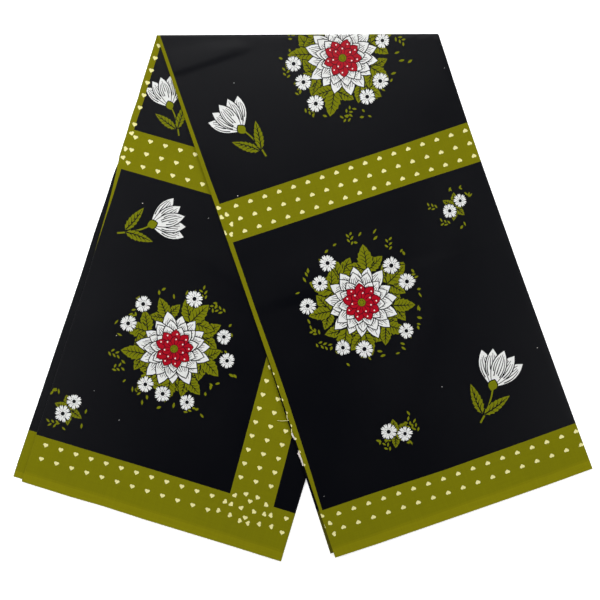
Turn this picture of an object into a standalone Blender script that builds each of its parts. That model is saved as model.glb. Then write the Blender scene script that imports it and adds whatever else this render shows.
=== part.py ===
"""A length of printed cotton cloth, folded into a long strip and laid flat with one fold at the top.

The strip runs from selvedge to selvedge and is six layers thick. It is folded over once, so two legs
spread below the fold like an upside-down V: the left leg lies underneath and the right leg on top.
Metres, +Z up. X runs along the fold and +Y points from the hems to the fold. The origin is on the
surface that the cloth lies on, at the middle of the cloth's outline.
"""

import math

import bmesh
import bpy
from mathutils import Vector

# The folded strip
STRIP_WIDTH = 0.3111
LAYERS = 6
LAYER_HEIGHT = 0.0005
LEG_HEIGHT = LAYERS * LAYER_HEIGHT
WALL = 0.001
GAP = 0.0003
UNDER_TOP = LEG_HEIGHT - WALL - GAP

# The two legs in plan
LEFT_LEAN = math.radians(16.72)
RIGHT_LEAN = math.radians(18.86)
FOLD_TILT = math.radians(0.27)
LEFT_LENGTH = 0.5385
RIGHT_LENGTH = 0.6365
FOLD_LENGTH = STRIP_WIDTH / math.cos((LEFT_LEAN + RIGHT_LEAN) / 2)
RIGHT_EDGE_BOW = 0.0026

# The fold at the top, a half round over both legs
STEP_UP = LEG_HEIGHT + GAP
STACK_HEIGHT = STEP_UP + LEG_HEIGHT
FOLD_RADIUS = STACK_HEIGHT / 2
FOLD_GAP = 0.00045
LEG_START = FOLD_RADIUS + FOLD_GAP

# How the right leg comes down from the left leg to the surface
DRAPE_START = 0.010
DRAPE_LENGTH = 0.085

# The side edges of a top layer that are folds, rolled a quarter turn down over the layers below
CURL_RADIUS = 0.0015
CURL_STEPS = 3
CURLED_SIDES = {"left": ("left", "right"), "right": ("right",)}
LEFT_INTO_FOLD = 0.0009

# Grid of a leg: its rows run square across the strip from the hem to the fan, then turn to the fold
COLUMNS = 14
ROW_SPACING = 0.030
ROW_CLEARANCE = 0.008
CREASE_STEPS = (-1.0, -0.5, 0.0, 0.5, 1.0)
FAN_START = {"left": 0.400, "right": 0.350}
FOLD_COLUMNS = 12
FOLD_STEPS = 10

# Soft troughs pressed across the legs. Along is metres from the fold's left end down the left edge,
# along_far is the same at the right edge, and start and end are metres across. Width is from the
# middle of the trough to where it has run out.
CREASE_FIELDS = ("leg", "along", "along_far", "start", "end", "width", "depth")
CREASE_ROWS = (
    ("right", 0.041, 0.046, -0.020, 0.105, 0.020, 0.0007),
    ("right", 0.326, 0.344, -0.020, 0.340, 0.030, 0.0008),
    ("left", 0.245, 0.248, 0.100, 0.215, 0.022, 0.0006),
    ("left", 0.352, 0.362, -0.020, 0.240, 0.034, 0.0005),
)
CREASES = [dict(zip(CREASE_FIELDS, row)) for row in CREASE_ROWS]

# The hidden layers show at their edges as two rounded bands, one over the other, between levels low
# and high. A reach is how far a band's edge stands out past the top layer's, in metres, and below
# nought it lies inside it. Side reaches start to change at the share opens of the way down the leg.
BAND_FIELDS = ("leg", "low", "high", "opens", "left", "left_hem", "right", "right_hem", "hem", "fold")
BAND_ROWS = (
    ("left", 0.0010, UNDER_TOP, 0.30, -0.0014, -0.0014, -0.0014, -0.0018, -0.0015, 0.0),
    ("left", 0.0, 0.0010, 0.30, -0.0004, 0.0080, -0.0006, -0.0022, -0.0030, 0.0),
    ("right", 0.0009, UNDER_TOP, 0.60, -0.0004, 0.0029, -0.0014, -0.0014, -0.0018, 0.0012),
    ("right", 0.0, 0.0009, 0.60, -0.0012, -0.0020, -0.0012, -0.0020, -0.0034, 0.0005),
)
BANDS = [dict(zip(BAND_FIELDS, row)) for row in BAND_ROWS]
BAND_ANGLES = [math.radians(degrees) for degrees in (60, 20, -20, -60)]

# Colours, and the roughness of the glazed cotton
BLACK = (0.008, 0.008, 0.010, 1.0)
OLIVE = (0.180, 0.180, 0.004, 1.0)
ROUGHNESS = 0.7


def smooth(share):
    """A soft step from 0 to 1."""
    share = min(max(share, 0.0), 1.0)
    return share * share * (3 - 2 * share)


def plan_corners():
    """Each leg's corners in plan: the fold's left and right ends, then the hem's left and right ends."""
    left_down = Vector((-math.sin(LEFT_LEAN), -math.cos(LEFT_LEAN)))
    left_across = Vector((math.cos(LEFT_LEAN), -math.sin(LEFT_LEAN)))
    right_down = Vector((math.sin(RIGHT_LEAN), -math.cos(RIGHT_LEAN)))
    right_across = Vector((math.cos(RIGHT_LEAN), math.sin(RIGHT_LEAN)))
    fold_left = Vector((0.0, 0.0))
    fold_right = FOLD_LENGTH * Vector((math.cos(FOLD_TILT), math.sin(FOLD_TILT)))
    left_hem = left_down * LEFT_LENGTH
    right_hem = right_down * RIGHT_LENGTH
    lowest = next(band for band in BANDS if band["leg"] == "left" and band["low"] == 0.0)
    west = left_hem - left_across * lowest["left_hem"] + left_down * lowest["hem"]
    south = left_hem + left_across * STRIP_WIDTH
    east = right_hem + right_across * STRIP_WIDTH
    middle = Vector(((west.x + east.x) / 2, (south.y + fold_right.y) / 2))
    legs = {
        "left": (fold_left, fold_right, left_hem, south),
        "right": (fold_left, fold_right, right_hem, east),
    }
    return {leg: [corner - middle for corner in corners] for leg, corners in legs.items()}


CORNERS = plan_corners()


def edge_lengths(leg):
    """How long the leg's left and right edges are, from the hem to where its layers meet the fold."""
    fold_left, fold_right, hem_left, hem_right = CORNERS[leg]
    start = LEG_START / math.cos(LEFT_LEAN if leg == "left" else RIGHT_LEAN)
    return (fold_left - hem_left).length - start, (fold_right - hem_right).length - start


def leg_plan(leg, row, across):
    """A point of a leg in plan. A row is how far up it is on the left and right edges."""
    fold_left, fold_right, hem_left, hem_right = CORNERS[leg]
    left = hem_left + (fold_left - hem_left).normalized() * row[0]
    right = hem_right + (fold_right - hem_right).normalized() * row[1]
    point = left.lerp(right, across / STRIP_WIDTH)
    if leg == "right":
        down = 1 - min(max(row[1] / (fold_right - hem_right).length, 0.0), 1.0)
        bow = RIGHT_EDGE_BOW * math.sin(math.pi * down**0.75)
        point -= (right - left).normalized() * bow * across / STRIP_WIDTH
    return point


def rest_height(leg, point):
    """How high a leg's underside lies: the right leg comes down past the left leg's right edge."""
    if leg == "left":
        return 0.0
    _, fold_right, _, hem_right = CORNERS["left"]
    edge = (hem_right - fold_right).normalized()
    beyond = (point - fold_right).dot(Vector((-edge.y, edge.x)))
    return STEP_UP * (1 - smooth((beyond - DRAPE_START) / DRAPE_LENGTH))


def crease_height(leg, point):
    """How far the pressed troughs lower the upper surface at a point in plan."""
    fold_left, _, hem_left, hem_right = CORNERS[leg]
    away = point - fold_left
    along = away.dot((hem_left - fold_left).normalized())
    across = away.dot((hem_right - hem_left).normalized())
    height = 0.0
    for crease in CREASES:
        if crease["leg"] != leg:
            continue
        middle = crease["along"] + (crease["along_far"] - crease["along"]) * across / STRIP_WIDTH
        near = 1 - smooth(abs(along - middle) / crease["width"])
        fade = 0.25 * (crease["end"] - crease["start"])
        inside = smooth((across - crease["start"]) / fade) * smooth((crease["end"] - across) / fade)
        height -= crease["depth"] * near * inside
    return height


def place(leg, row, across, level):
    """A point of a leg in space, at a level counted from the leg's underside."""
    point = leg_plan(leg, row, across)
    sunk = crease_height(leg, point) * min(1.0, level / UNDER_TOP)
    return Vector((point.x, point.y, rest_height(leg, point) + level + sunk))


def rows_of(leg):
    """The leg's rows of points from hem to fold, each as how far up it is on the two edges."""
    left_top, right_top = edge_lengths(leg)
    fan = FAN_START[leg]
    hem_to_fold = (CORNERS[leg][0] - CORNERS[leg][2]).length
    crease_rows = []
    for crease in CREASES:
        up = hem_to_fold - crease["along"]
        if crease["leg"] == leg and up < fan:
            far = hem_to_fold - crease["along_far"]
            crease_rows += [(up + step * crease["width"], far + step * crease["width"]) for step in CREASE_STEPS]

    square = round(fan / ROW_SPACING)
    turning = round((max(left_top, right_top) - fan) / ROW_SPACING)
    rows = []
    for step in range(1, square + 1):
        rows.append((fan * step / square, fan * step / square))
    for step in range(1, turning):
        share = step / turning
        rows.append((fan + (left_top - fan) * share, fan + (right_top - fan) * share))
    for up, far in crease_rows:
        rows = [
            row
            for row in rows
            if (row[0] > up + ROW_CLEARANCE and row[1] > far + ROW_CLEARANCE)
            or (row[0] < up - ROW_CLEARANCE and row[1] < far - ROW_CLEARANCE)
        ]
    return [(0.0, 0.0)] + sorted(rows + crease_rows) + [(left_top, right_top)]


def lay_grid(bm, columns, rows, point):
    """A grid whose points are set by point(column, row), all its faces split the same way."""
    grid = bmesh.ops.create_grid(bm, x_segments=columns, y_segments=rows, size=0.5)["verts"]
    corners = {}
    for vert in grid:
        column = round((vert.co.x + 0.5) * columns)
        row = round((vert.co.y + 0.5) * rows)
        vert.co = point(column, row)
        corners[column, row] = vert
    faces = {face for vert in grid for face in vert.link_faces}
    bmesh.ops.triangulate(bm, faces=list(faces), quad_method="FIXED")
    return corners


def cloth_object(name, bm, colour):
    """An object with its own cotton material, made from a bmesh."""
    mesh = bpy.data.meshes.new(name)
    bm.to_mesh(mesh)
    bm.free()
    mesh.shade_smooth()
    mesh.set_sharp_from_angle(angle=math.radians(50))
    material = bpy.data.materials.new(name)
    material.use_nodes = True
    shader = material.node_tree.nodes["Principled BSDF"]
    shader.inputs["Base Color"].default_value = colour
    shader.inputs["Roughness"].default_value = ROUGHNESS
    shader.inputs["Metallic"].default_value = 0.0
    mesh.materials.append(material)
    obj = bpy.data.objects.new(name, mesh)
    bpy.data.collections["wax_print_fabric"].objects.link(obj)
    return obj


def cloth_wall(name, columns, rows, outside, colour):
    """A wall of cloth: a grid laid on its outer surface, with Solidify giving its thickness inwards."""
    bm = bmesh.new()
    lay_grid(bm, columns, rows, outside)
    obj = cloth_object(name, bm, colour)
    solidify = obj.modifiers.new("Wall", "SOLIDIFY")
    solidify.thickness = WALL
    solidify.offset = -1.0
    return obj


def top_layer(leg, into_fold):
    """The leg's visible layer, with its folded side edges rolled down over the layers below."""
    rows = rows_of(leg)
    rows[-1] = tuple(up + into_fold for up in rows[-1])
    left_steps = CURL_STEPS if "left" in CURLED_SIDES[leg] else 0
    right_steps = CURL_STEPS if "right" in CURLED_SIDES[leg] else 0
    last_flat = left_steps + COLUMNS

    def outside(column, row):
        across = STRIP_WIDTH * (column - left_steps) / COLUMNS
        drop = 0.0
        if left_steps and column <= left_steps:
            turn = math.pi / 2 * (1 - column / left_steps)
            across = CURL_RADIUS * (1 - math.sin(turn))
            drop = CURL_RADIUS * (1 - math.cos(turn))
        if right_steps and column >= last_flat:
            turn = math.pi / 2 * (column - last_flat) / right_steps
            across = STRIP_WIDTH - CURL_RADIUS * (1 - math.sin(turn))
            drop = CURL_RADIUS * (1 - math.cos(turn))
        return place(leg, rows[row], across, LEG_HEIGHT - drop)

    return cloth_wall(f"{leg}_leg_top_layer", last_flat + right_steps, len(rows) - 1, outside, BLACK)


def under_layers(leg):
    """The leg's hidden layers as one rounded solid, with the two bands of their edges all round it."""
    rows = rows_of(leg)
    last = len(rows) - 1
    hem_to_fold = rows[-1][0]

    def point(band, column, row, inset, level):
        """A point of a band, the outermost ones lying at its edge less an inset."""
        up_left, up_right = rows[row]
        if row == 0:
            up_left = up_right = inset - band["hem"]
        if row == last:
            up_left += band["fold"] - inset
            up_right += band["fold"] - inset
        opened = max(0.0, (1 - rows[row][0] / hem_to_fold - band["opens"]) / (1 - band["opens"]))
        across = STRIP_WIDTH * column / COLUMNS
        if column == 0:
            across = inset - band["left"] - (band["left_hem"] - band["left"]) * opened
        if column == COLUMNS:
            across += band["right"] + (band["right_hem"] - band["right"]) * opened - inset
        return place(leg, (up_left, up_right), across, level)

    bm = bmesh.new()
    upper, lower = [band for band in BANDS if band["leg"] == leg]
    sheets = []
    for band, level in ((upper, upper["high"]), (lower, lower["low"])):
        inset = (band["high"] - band["low"]) / 2
        sheets.append(lay_grid(bm, COLUMNS, last, lambda column, row: point(band, column, row, inset, level)))

    border = [(column, 0) for column in range(COLUMNS)]
    border += [(COLUMNS, row) for row in range(last)]
    border += [(column, last) for column in range(COLUMNS, 0, -1)]
    border += [(0, row) for row in range(last, 0, -1)]
    rings = [[sheets[0][place] for place in border]]
    for band in (upper, lower):
        radius = (band["high"] - band["low"]) / 2
        for angle in BAND_ANGLES:
            inset = radius * (1 - math.cos(angle))
            level = band["low"] + radius * (1 + math.sin(angle))
            rings.append([bm.verts.new(point(band, column, row, inset, level)) for column, row in border])
    rings.append([sheets[1][place] for place in border])
    for above, below in zip(rings, rings[1:]):
        for index, corner in enumerate(above):
            following = (index + 1) % len(border)
            bm.faces.new((corner, above[following], below[following], below[index]))
    bmesh.ops.recalc_face_normals(bm, faces=bm.faces)
    return cloth_object(f"{leg}_leg_under_layers", bm, OLIVE)


def top_fold():
    """The outermost layer's half turn round the ends of all the others."""
    fold_left, fold_right = CORNERS["right"][:2]
    inward = Vector((math.sin(FOLD_TILT), -math.cos(FOLD_TILT)))

    def outside(column, row):
        turn = math.pi / 2 - math.pi * row / FOLD_STEPS
        point = fold_left.lerp(fold_right, column / FOLD_COLUMNS)
        point += inward * FOLD_RADIUS * (1 - math.cos(turn))
        return Vector((point.x, point.y, FOLD_RADIUS * (1 + math.sin(turn))))

    return cloth_wall("top_fold", FOLD_COLUMNS, FOLD_STEPS, outside, BLACK)


def main():
    for obj in list(bpy.data.objects):
        bpy.data.objects.remove(obj, do_unlink=True)
    collection = bpy.data.collections.new("wax_print_fabric")
    bpy.context.scene.collection.children.link(collection)
    under_layers("left")
    top_layer("left", LEFT_INTO_FOLD)
    under_layers("right")
    top_layer("right", 0.0)
    top_fold()


main()
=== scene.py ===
"""Looks of a folded length of wax print cotton: its printed layers, folded edges and weave.

The cloth lies flat on a pale floor. Metres, +Z up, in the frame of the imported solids. The printed
shapes are drawn in millimetres, on each layer laid flat: x across it and y up from its hem.
"""

import math
import random

import bpy
import numpy as np
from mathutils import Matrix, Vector, noise
from mathutils.bvhtree import BVHTree
from mathutils.geometry import delaunay_2d_cdt


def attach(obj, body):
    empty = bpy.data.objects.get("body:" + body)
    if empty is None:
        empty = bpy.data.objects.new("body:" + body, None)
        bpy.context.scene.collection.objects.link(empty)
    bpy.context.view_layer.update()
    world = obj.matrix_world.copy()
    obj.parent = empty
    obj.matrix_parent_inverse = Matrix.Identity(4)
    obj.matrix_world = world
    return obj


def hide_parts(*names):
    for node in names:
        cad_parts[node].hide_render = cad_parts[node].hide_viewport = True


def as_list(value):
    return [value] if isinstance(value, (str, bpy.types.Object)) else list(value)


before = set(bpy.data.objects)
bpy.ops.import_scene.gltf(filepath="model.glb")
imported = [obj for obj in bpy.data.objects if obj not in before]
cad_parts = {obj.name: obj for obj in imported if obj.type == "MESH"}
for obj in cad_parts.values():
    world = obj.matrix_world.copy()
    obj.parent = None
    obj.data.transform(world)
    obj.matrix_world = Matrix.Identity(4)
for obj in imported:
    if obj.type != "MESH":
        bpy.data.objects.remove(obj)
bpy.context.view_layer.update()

MM = 0.001

# The folded strip, as its solids have it. The legs' leans are anticlockwise from straight down.
STRIP_WIDTH = 0.3111
LAYERS = 6
LAYER_HEIGHT = 0.0005
LEG_HEIGHT = LAYERS * LAYER_HEIGHT
CLOTH = 0.0003
LEAN = {"left": math.radians(-16.72), "right": math.radians(18.86)}
LENGTH = {"left": 0.5385, "right": 0.6365}
FOLD_TILT = math.radians(0.27)
FOLD_LENGTH = STRIP_WIDTH / math.cos((LEAN["right"] - LEAN["left"]) / 2)
STEP_UP = LEG_HEIGHT + 0.0003
FOLD_RADIUS = (STEP_UP + LEG_HEIGHT) / 2
DRAPE_START = 0.010
DRAPE_LENGTH = 0.085
WEST_REACH = 0.008
WEST_HEM = 0.003

# The camera: a long lens almost straight above, as in the photograph
LENS = 85.0
SENSOR = 36.0
CAMERA_DISTANCE = 1.63
CAMERA_PITCH = math.radians(3.12)
AIM_FROM_FOLD = (0.1654, -0.3077)

# Soft creases across the legs, in metres: how far each one is from the fold down the left edge and
# down the right edge, where it starts and ends across the leg, the lengths of its slopes above and
# below, and its height
CREASES = {
    "right": (
        (0.0465, 0.040, -0.020, 0.110, 0.034, 0.010, 0.0006),
        (0.335, 0.346, -0.020, 0.340, 0.055, 0.013, 0.0011),
    ),
    "left": (
        (0.2045, 0.2826, 0.085, 0.230, 0.030, 0.009, 0.0005),
        (0.330, 0.334, -0.020, 0.250, 0.060, 0.030, 0.0006),
    ),
}

# Lines that are not quite straight, as millimetres off by millimetres along: the sides' run up from
# the hem, and the hems' across from the left
LINES = {
    "right leg, left side": (
        (0, 0.0), (100, 0.3), (250, 0.8), (350, 0.3), (430, -0.3), (460, -0.8), (640, -0.9),
    ),
    "right leg, right side": (
        (0, 0.1), (50, 1.0), (150, 2.0), (250, 2.9), (350, 3.2), (420, 3.1), (460, 2.6), (500, 1.8),
        (530, 1.1), (640, 0.0),
    ),
    "left leg, cut edges": (
        (0, -8.8), (20, -8.7), (60, -7.7), (100, -6.6), (150, -5.5), (200, -4.1), (250, -2.9),
        (300, -2.6), (340, -1.4), (372, -1.3), (394, 0.9), (540, 0.9),
    ),
    "left leg, left side": (
        (0, 2.1), (60, 2.6), (160, 3.8), (255, 5.0), (320, 3.8), (345, 3.0), (372, 1.2), (392, -1.1),
        (420, -0.8), (440, -1.2), (460, -0.4), (480, -0.9), (540, -0.7),
    ),
    "left leg, right side": ((0, -0.9), (110, -0.9), (250, 0.0), (540, 0.0)),
    "right hem": ((0, 1.0), (50, 0.1), (200, 0.2), (260, 0.5), (311, 1.3)),
    "left hem": ((0, 1.2), (60, 0.7), (100, 1.3), (150, 0.4), (250, 0.3), (311, -0.3)),
}

# Layers are counted from the cloth's outer face: 1 is on top of the right leg and under the left
# one. Where they lie along each line: a fold joins two layers, and a single layer ends in a cut edge.
# It lies inside its line by an inset, in millimetres, which changes to the hem's inset below a share
# of the way down.
EDGES = {
    "right leg, left side": {
        (1,): (0.0, 0.0, 0.5), (2,): (0.1, -3.7, 0.5), (3, 6): (1.2, 2.2, 0.3), (4, 5): (1.9, 3.1, 0.3),
    },
    "right leg, right side": {(1, 4): (0.0, 0.0, 0.5), (2, 3): (0.8, 1.1, 0.5), (5, 6): (0.5, 1.6, 0.4)},
    "left leg, cut edges": {(1,): (0.6, 1.4, 0.3), (2,): (0.0, 0.0, 0.5)},
    "left leg, left side": {(3, 6): (0.0, 0.0, 0.5), (4, 5): (1.2, 0.8, 0.5)},
    "left leg, right side": {(1, 4): (0.7, 1.8, 0.3), (2, 3): (1.6, 2.7, 0.3), (5, 6): (0.0, 0.0, 0.5)},
}

# How far each layer's hem lies inside the top layer's, in millimetres
HEM_INSETS = {
    "right": {1: 0.0, 2: 6.2, 3: 2.2, 4: 1.4, 5: 3.4, 6: 2.7},
    "left": {1: 3.0, 2: 2.6, 3: 1.6, 4: 2.1, 5: 0.9, 6: 0.0},
}
HEM_WAVE_REACH = 0.05

# The cloth's slight waves: their depth, and each noise's share, how many a metre and its slice
WAVE_DEPTH = 0.00022
WAVES = ((1.0, 11, 7, 3.7), (0.4, 31, 23, 9.1))

# A crease fades out over this share of its length, and the cloth lies smooth this far below the fold
CREASE_FADE = 0.25
SMOOTH_BELOW_FOLD = 0.015

# How much of the right leg's slant its cloth keeps on its way round the fold
SLANT_KEPT = 0.4


def off_line(name, along):
    """How far a line is off straight, at places along it, in metres."""
    places, values = np.array(LINES[name]).T * MM
    return np.interp(along, places, values)


def smooth(share):
    """A soft step from 0 to 1."""
    share = np.clip(share, 0.0, 1.0)
    return share * share * (3 - 2 * share)


def unit(vector):
    return vector / np.linalg.norm(vector)


def units(vectors):
    """Each row of an array at length one."""
    return vectors / np.linalg.norm(vectors, axis=1)[:, None]


def sideways(path):
    """The direction to the right of a path, at each of its points."""
    along = units(np.gradient(path, axis=0))
    return np.column_stack((along[:, 1], -along[:, 0]))


def plan_corners():
    """Each leg's corners in plan: the fold's left and right ends, then the hem's."""
    fold_left = np.zeros(2)
    fold_right = FOLD_LENGTH * np.array((math.cos(FOLD_TILT), math.sin(FOLD_TILT)))
    legs = {}
    for leg, lean in LEAN.items():
        hem = LENGTH[leg] * np.array((math.sin(lean), -math.cos(lean)))
        across = STRIP_WIDTH * np.array((math.cos(lean), math.sin(lean)))
        legs[leg] = (fold_left, fold_right, hem, hem + across)
    left_hem, south = legs["left"][2:]
    east = legs["right"][3]
    west = left_hem[0] - math.cos(LEAN["left"]) * WEST_REACH - math.sin(LEAN["left"]) * WEST_HEM
    middle = np.array(((west + east[0]) / 2, (south[1] + fold_right[1]) / 2))
    return {leg: [corner - middle for corner in corners] for leg, corners in legs.items()}


CORNERS = plan_corners()
FOLD_ALONG = unit(CORNERS["right"][1] - CORNERS["right"][0])
FOLD_INWARD = np.array((FOLD_ALONG[1], -FOLD_ALONG[0]))


def plan(leg, across, up):
    """Points of a leg in plan, by how far across it and up from its hem they are."""
    fold_left, fold_right, hem_left, hem_right = CORNERS[leg]
    up = up + off_line(f"{leg} hem", across) * (1 - smooth(up / HEM_WAVE_REACH))
    left = hem_left + unit(fold_left - hem_left) * up[:, None]
    right = hem_right + unit(fold_right - hem_right) * up[:, None]
    return left + (right - left) * (across / STRIP_WIDTH)[:, None]


def rest_height(point):
    """How high the right leg's underside lies: it comes down past the left leg's right edge."""
    _, fold_right, _, hem_right = CORNERS["left"]
    edge = unit(hem_right - fold_right)
    beyond = (point - fold_right) @ np.array((-edge[1], edge[0]))
    return STEP_UP * (1 - smooth((beyond - DRAPE_START) / DRAPE_LENGTH))


def raised_by(leg, point):
    """How far creases and the cloth's slight waves move the upper surface."""
    fold_left, _, hem_left, hem_right = CORNERS[leg]
    away = point - fold_left
    along = away @ unit(hem_left - fold_left)
    across = away @ unit(hem_right - hem_left)
    height = np.zeros(len(point))
    for at_left, at_right, start, end, above, below, rise in CREASES[leg]:
        down = along - (at_left + (at_right - at_left) * across / STRIP_WIDTH)
        near = 1 - smooth(np.where(down < 0, -down / above, down / below))
        fade = CREASE_FADE * (end - start)
        height += rise * near * (smooth((across - start) / fade) * smooth((end - across) / fade))
    waves = [
        sum(share * noise.noise((x * wide, y * high, level)) for share, wide, high, level in WAVES)
        for x, y in point
    ]
    height -= WAVE_DEPTH * (0.5 + 0.5 * np.array(waves))
    return height * smooth((away @ FOLD_INWARD - FOLD_RADIUS) / SMOOTH_BELOW_FOLD)


def lie(leg, across, up, level):
    """Points of a leg in space, level being their height in its stack of layers."""
    point = plan(leg, across, up)
    height = level + raised_by(leg, point) * level / LEG_HEIGHT
    if leg == "left":
        return np.column_stack((point, height))
    inwards = (point - CORNERS[leg][0]) @ FOLD_INWARD
    arc = np.maximum(FOLD_RADIUS - inwards, 0.0)
    turn = arc / FOLD_RADIUS
    radius = FOLD_RADIUS - (LEG_HEIGHT - level)
    moved = np.where(arc > 0, FOLD_RADIUS - radius * np.sin(turn) - inwards, 0.0)
    slant = SLANT_KEPT * arc * math.tan(LEAN[leg] - FOLD_TILT)
    point = point + moved[:, None] * FOLD_INWARD + slant[:, None] * FOLD_ALONG
    wrapped = FOLD_RADIUS + radius * np.cos(turn)
    return np.column_stack((point, np.where(arc > 0, wrapped, rest_height(point) + height)))


def level_of(leg, layer):
    """The middle of a layer's height in its leg's stack."""
    level = (layer - 0.5) * LAYER_HEIGHT
    return level if leg == "left" else LEG_HEIGHT - level


def inset(leg, side, layers, up):
    """How far a fold or cut edge lies inside the strip's straight edge, at heights up from the hem."""
    line = f"{leg} leg, {side} side"
    if leg == side == "left" and len(layers) == 1:
        line = "left leg, cut edges"
    inside, inside_hem, opens = EDGES[line][layers]
    down = 1 - np.clip(up / LENGTH[leg], 0.0, 1.0)
    opened = np.clip((down - opens) / (1 - opens), 0.0, 1.0)
    return MM * (inside + (inside_hem - inside) * opened) + off_line(line, up)


def fold_radius(leg, layers):
    """The radius, to the middle of the cloth, of the fold that joins two layers."""
    return abs(level_of(leg, layers[1]) - level_of(leg, layers[0])) / 2


def top_of(leg, across, past=0.0):
    """How far up from the hem a leg's layers reach the fold, or a distance past it round the fold."""
    fold_left, fold_right, hem_left, hem_right = CORNERS[leg]
    left = np.linalg.norm(fold_left - hem_left)
    right = np.linalg.norm(fold_right - hem_right)
    slanting = (FOLD_RADIUS - past) / math.cos(LEAN[leg] - FOLD_TILT)
    return left + (right - left) * across / STRIP_WIDTH - slanting


# Inks, as sRGB in the photograph's light
INKS = {
    "ground": (2, 3, 8),
    "olive": (120, 118, 0),
    "selvedge": (132, 128, 2),
    "selvedge border": (126, 122, 1),
    "cream": (240, 234, 162),
    "white": (231, 232, 230),
    "leaf": (116, 120, 4),
    "red": (170, 1, 26),
    "crimson": (92, 0, 20),
    "thread": (222, 214, 208),
    # Painted shade: darker olive and selvedge for the cloth's reverse, where a lower layer shows
    "olive reverse": (72, 69, 1),
    "selvedge reverse": (77, 74, 2),
}

# The inks that are darker on the cloth's reverse: painted shade, for a lower layer that shows beside the
# edge of the layer on it
PAINTED_SHADE_INKS = {"olive": "olive reverse", "selvedge": "selvedge reverse"}

# Where the plain bands lie, in millimetres: each edge runs through points (across, up)
OVERHANG = 12.0
PAST_THE_FOLD = 900.0
WIDTH = STRIP_WIDTH / MM
FAR = WIDTH + OVERHANG
SELVEDGE_TOP = 10.0
SELVEDGE_BORDER = 2.6
HEM_BAND_TOP = {
    "right": ((-OVERHANG, 56.7), (60.0, 56.1), (150.0, 54.6), (250.0, 55.6), (FAR, 56.8)),
    "left": ((-OVERHANG, 57.1), (150.0, 57.2), (FAR, 56.3)),
}
CROSSBAR_FOOT = {
    "right": ((-OVERHANG, 379.4), (60.0, 378.5), (225.0, 377.3), (300.0, 376.2), (FAR, 375.9)),
    "left": ((-OVERHANG, 376.9), (FAR, 380.5)),
}
CROSSBAR_HEAD = {
    "right": ((-OVERHANG, 426.4), (60.0, 425.4), (225.0, 423.4), (300.0, 423.8), (FAR, 423.8)),
    "left": ((-OVERHANG, 424.6), (FAR, 428.2)),
}
SIDE_STRIPE = (
    (3.5, SELVEDGE_TOP), (3.5, 60.0), (4.9, 100.0), (5.7, 150.0), (6.3, 200.0), (5.6, 250.0),
    (4.9, 300.0), (5.4, 430.0), (4.1, 520.0), (3.6, 640.0), (3.6, PAST_THE_FOLD),
)

# The left leg's band that runs up from its hem, and the sliver of a band at its left fold
UPRIGHT_LEFT = ((234.3, SELVEDGE_TOP), (226.3, 250.0), (218.3, 500.0))
UPRIGHT_RIGHT = ((286.6, SELVEDGE_TOP), (277.4, 250.0), (268.0, 500.0))
EDGE_WEDGE = ((0.0, 272.0), (1.6, 320.0), (3.8, 360.0), (6.6, 400.0), (7.6, 440.0), (7.8, 560.0))

# Rows of small hearts: the band's line, the first heart's place across and above it, the steps to the
# next heart and the next row, and how many
HEART_ROWS = {
    "right": (
        (HEM_BAND_TOP["right"], 20.1, -25.3, 18.0, 16.7, 17, 2),
        (CROSSBAR_FOOT["right"], 22.8, 9.0, 17.64, 15.4, 18, 3),
    ),
    "left": (
        (HEM_BAND_TOP["left"], 14.1, -25.6, 18.15, 16.6, 12, 2),
        (CROSSBAR_FOOT["left"], 11.5, 8.5, 17.85, 15.4, 12, 3),
    ),
}

# Columns of them, in the same way: the first heart's place is beside an upright line and up
LEFT_EDGE = ((0.0, 0.0), (0.0, PAST_THE_FOLD))
HEART_COLUMNS = {
    "right": ((LEFT_EDGE, -1.3, 112.8, 0.0, 15.65, 1, 8),),
    "left": (
        (UPRIGHT_LEFT, 7.0, 77.5, 18.1, 16.2, 3, 9),
        (LEFT_EDGE, 6.1, 451.1, 0.0, 15.1, 1, 6),
    ),
}

# Hearts outside the rows, some of them cut by the cloth's edge: across, up and turn
SINGLE_HEARTS = {
    "right": (
        (2.4, 421.7, -43.0), (2.1, 410.5, -64.0), (8.7, 411.6, -64.0), (10.3, 399.8, -109.0),
        (6.1, 388.9, -116.0), (-0.6, 392.2, -80.0), (0.3, 50.4, -43.0), (-2.0, 38.5, -84.0),
        (6.4, 39.7, -64.0), (7.0, 26.9, -106.0),
    ),
    "left": (
        (4.9, 389.9, 22.0), (5.2, 401.0, 107.0), (6.1, 419.7, 27.0), (6.3, 430.5, 0.0),
        (302.6, 47.5, 0.0), (302.6, 31.0, 0.0),
    ),
}

# Hearts that turn round the left leg's corner of two bands, alike on each side of its axis: how far
# aside, up and turn
CORNER_AXIS = 257.3
CORNER_HEARTS = (
    (31.1, 34.4, 86.0), (26.8, 46.2, 70.0), (19.4, 45.2, 58.0), (18.4, 55.9, 42.0),
    (17.0, 33.1, 80.0), (7.4, 44.3, 28.0), (6.7, 60.9, 20.0), (4.3, 30.3, 89.0),
)
AXIS_HEARTS = (34.9, 54.3)

# A heart's size, and how far below its middle its point is cut off blunt
HEART_WIDTH = 5.9
HEART_HEIGHT = 5.1
HEART_TIP = {"right": 1.95, "left": 2.55}


def turned(points, degrees):
    angle = math.radians(degrees)
    spin = np.array(((math.cos(angle), math.sin(angle)), (-math.sin(angle), math.cos(angle))))
    return np.asarray(points, float) @ spin


def placed(shapes, x, y, degrees=0.0, scale=1.0):
    """Shapes turned anticlockwise, scaled and moved."""
    return [(ink, turned(points, degrees) * scale + (x, y)) for ink, points in shapes]


def blade(length, width, fullest=0.5, steps=9):
    """A petal that stands on the origin, pointed at both ends and fullest at a share of its length."""
    share = np.linspace(0, 1, steps)
    half = width / 2 * np.sin(math.pi * share ** (math.log(0.5) / math.log(fullest))) ** 0.85
    right = np.column_stack((half, share * length))
    left = np.column_stack((-half, share * length))[-2:0:-1]
    return np.concatenate((right, left))


def stroke(points, start, end):
    """A line along some points that tapers from one width to another."""
    points = np.asarray(points, float)
    half = sideways(points) * np.linspace(start, end, len(points))[:, None] / 2
    return np.concatenate((points + half, (points - half)[::-1]))


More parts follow.
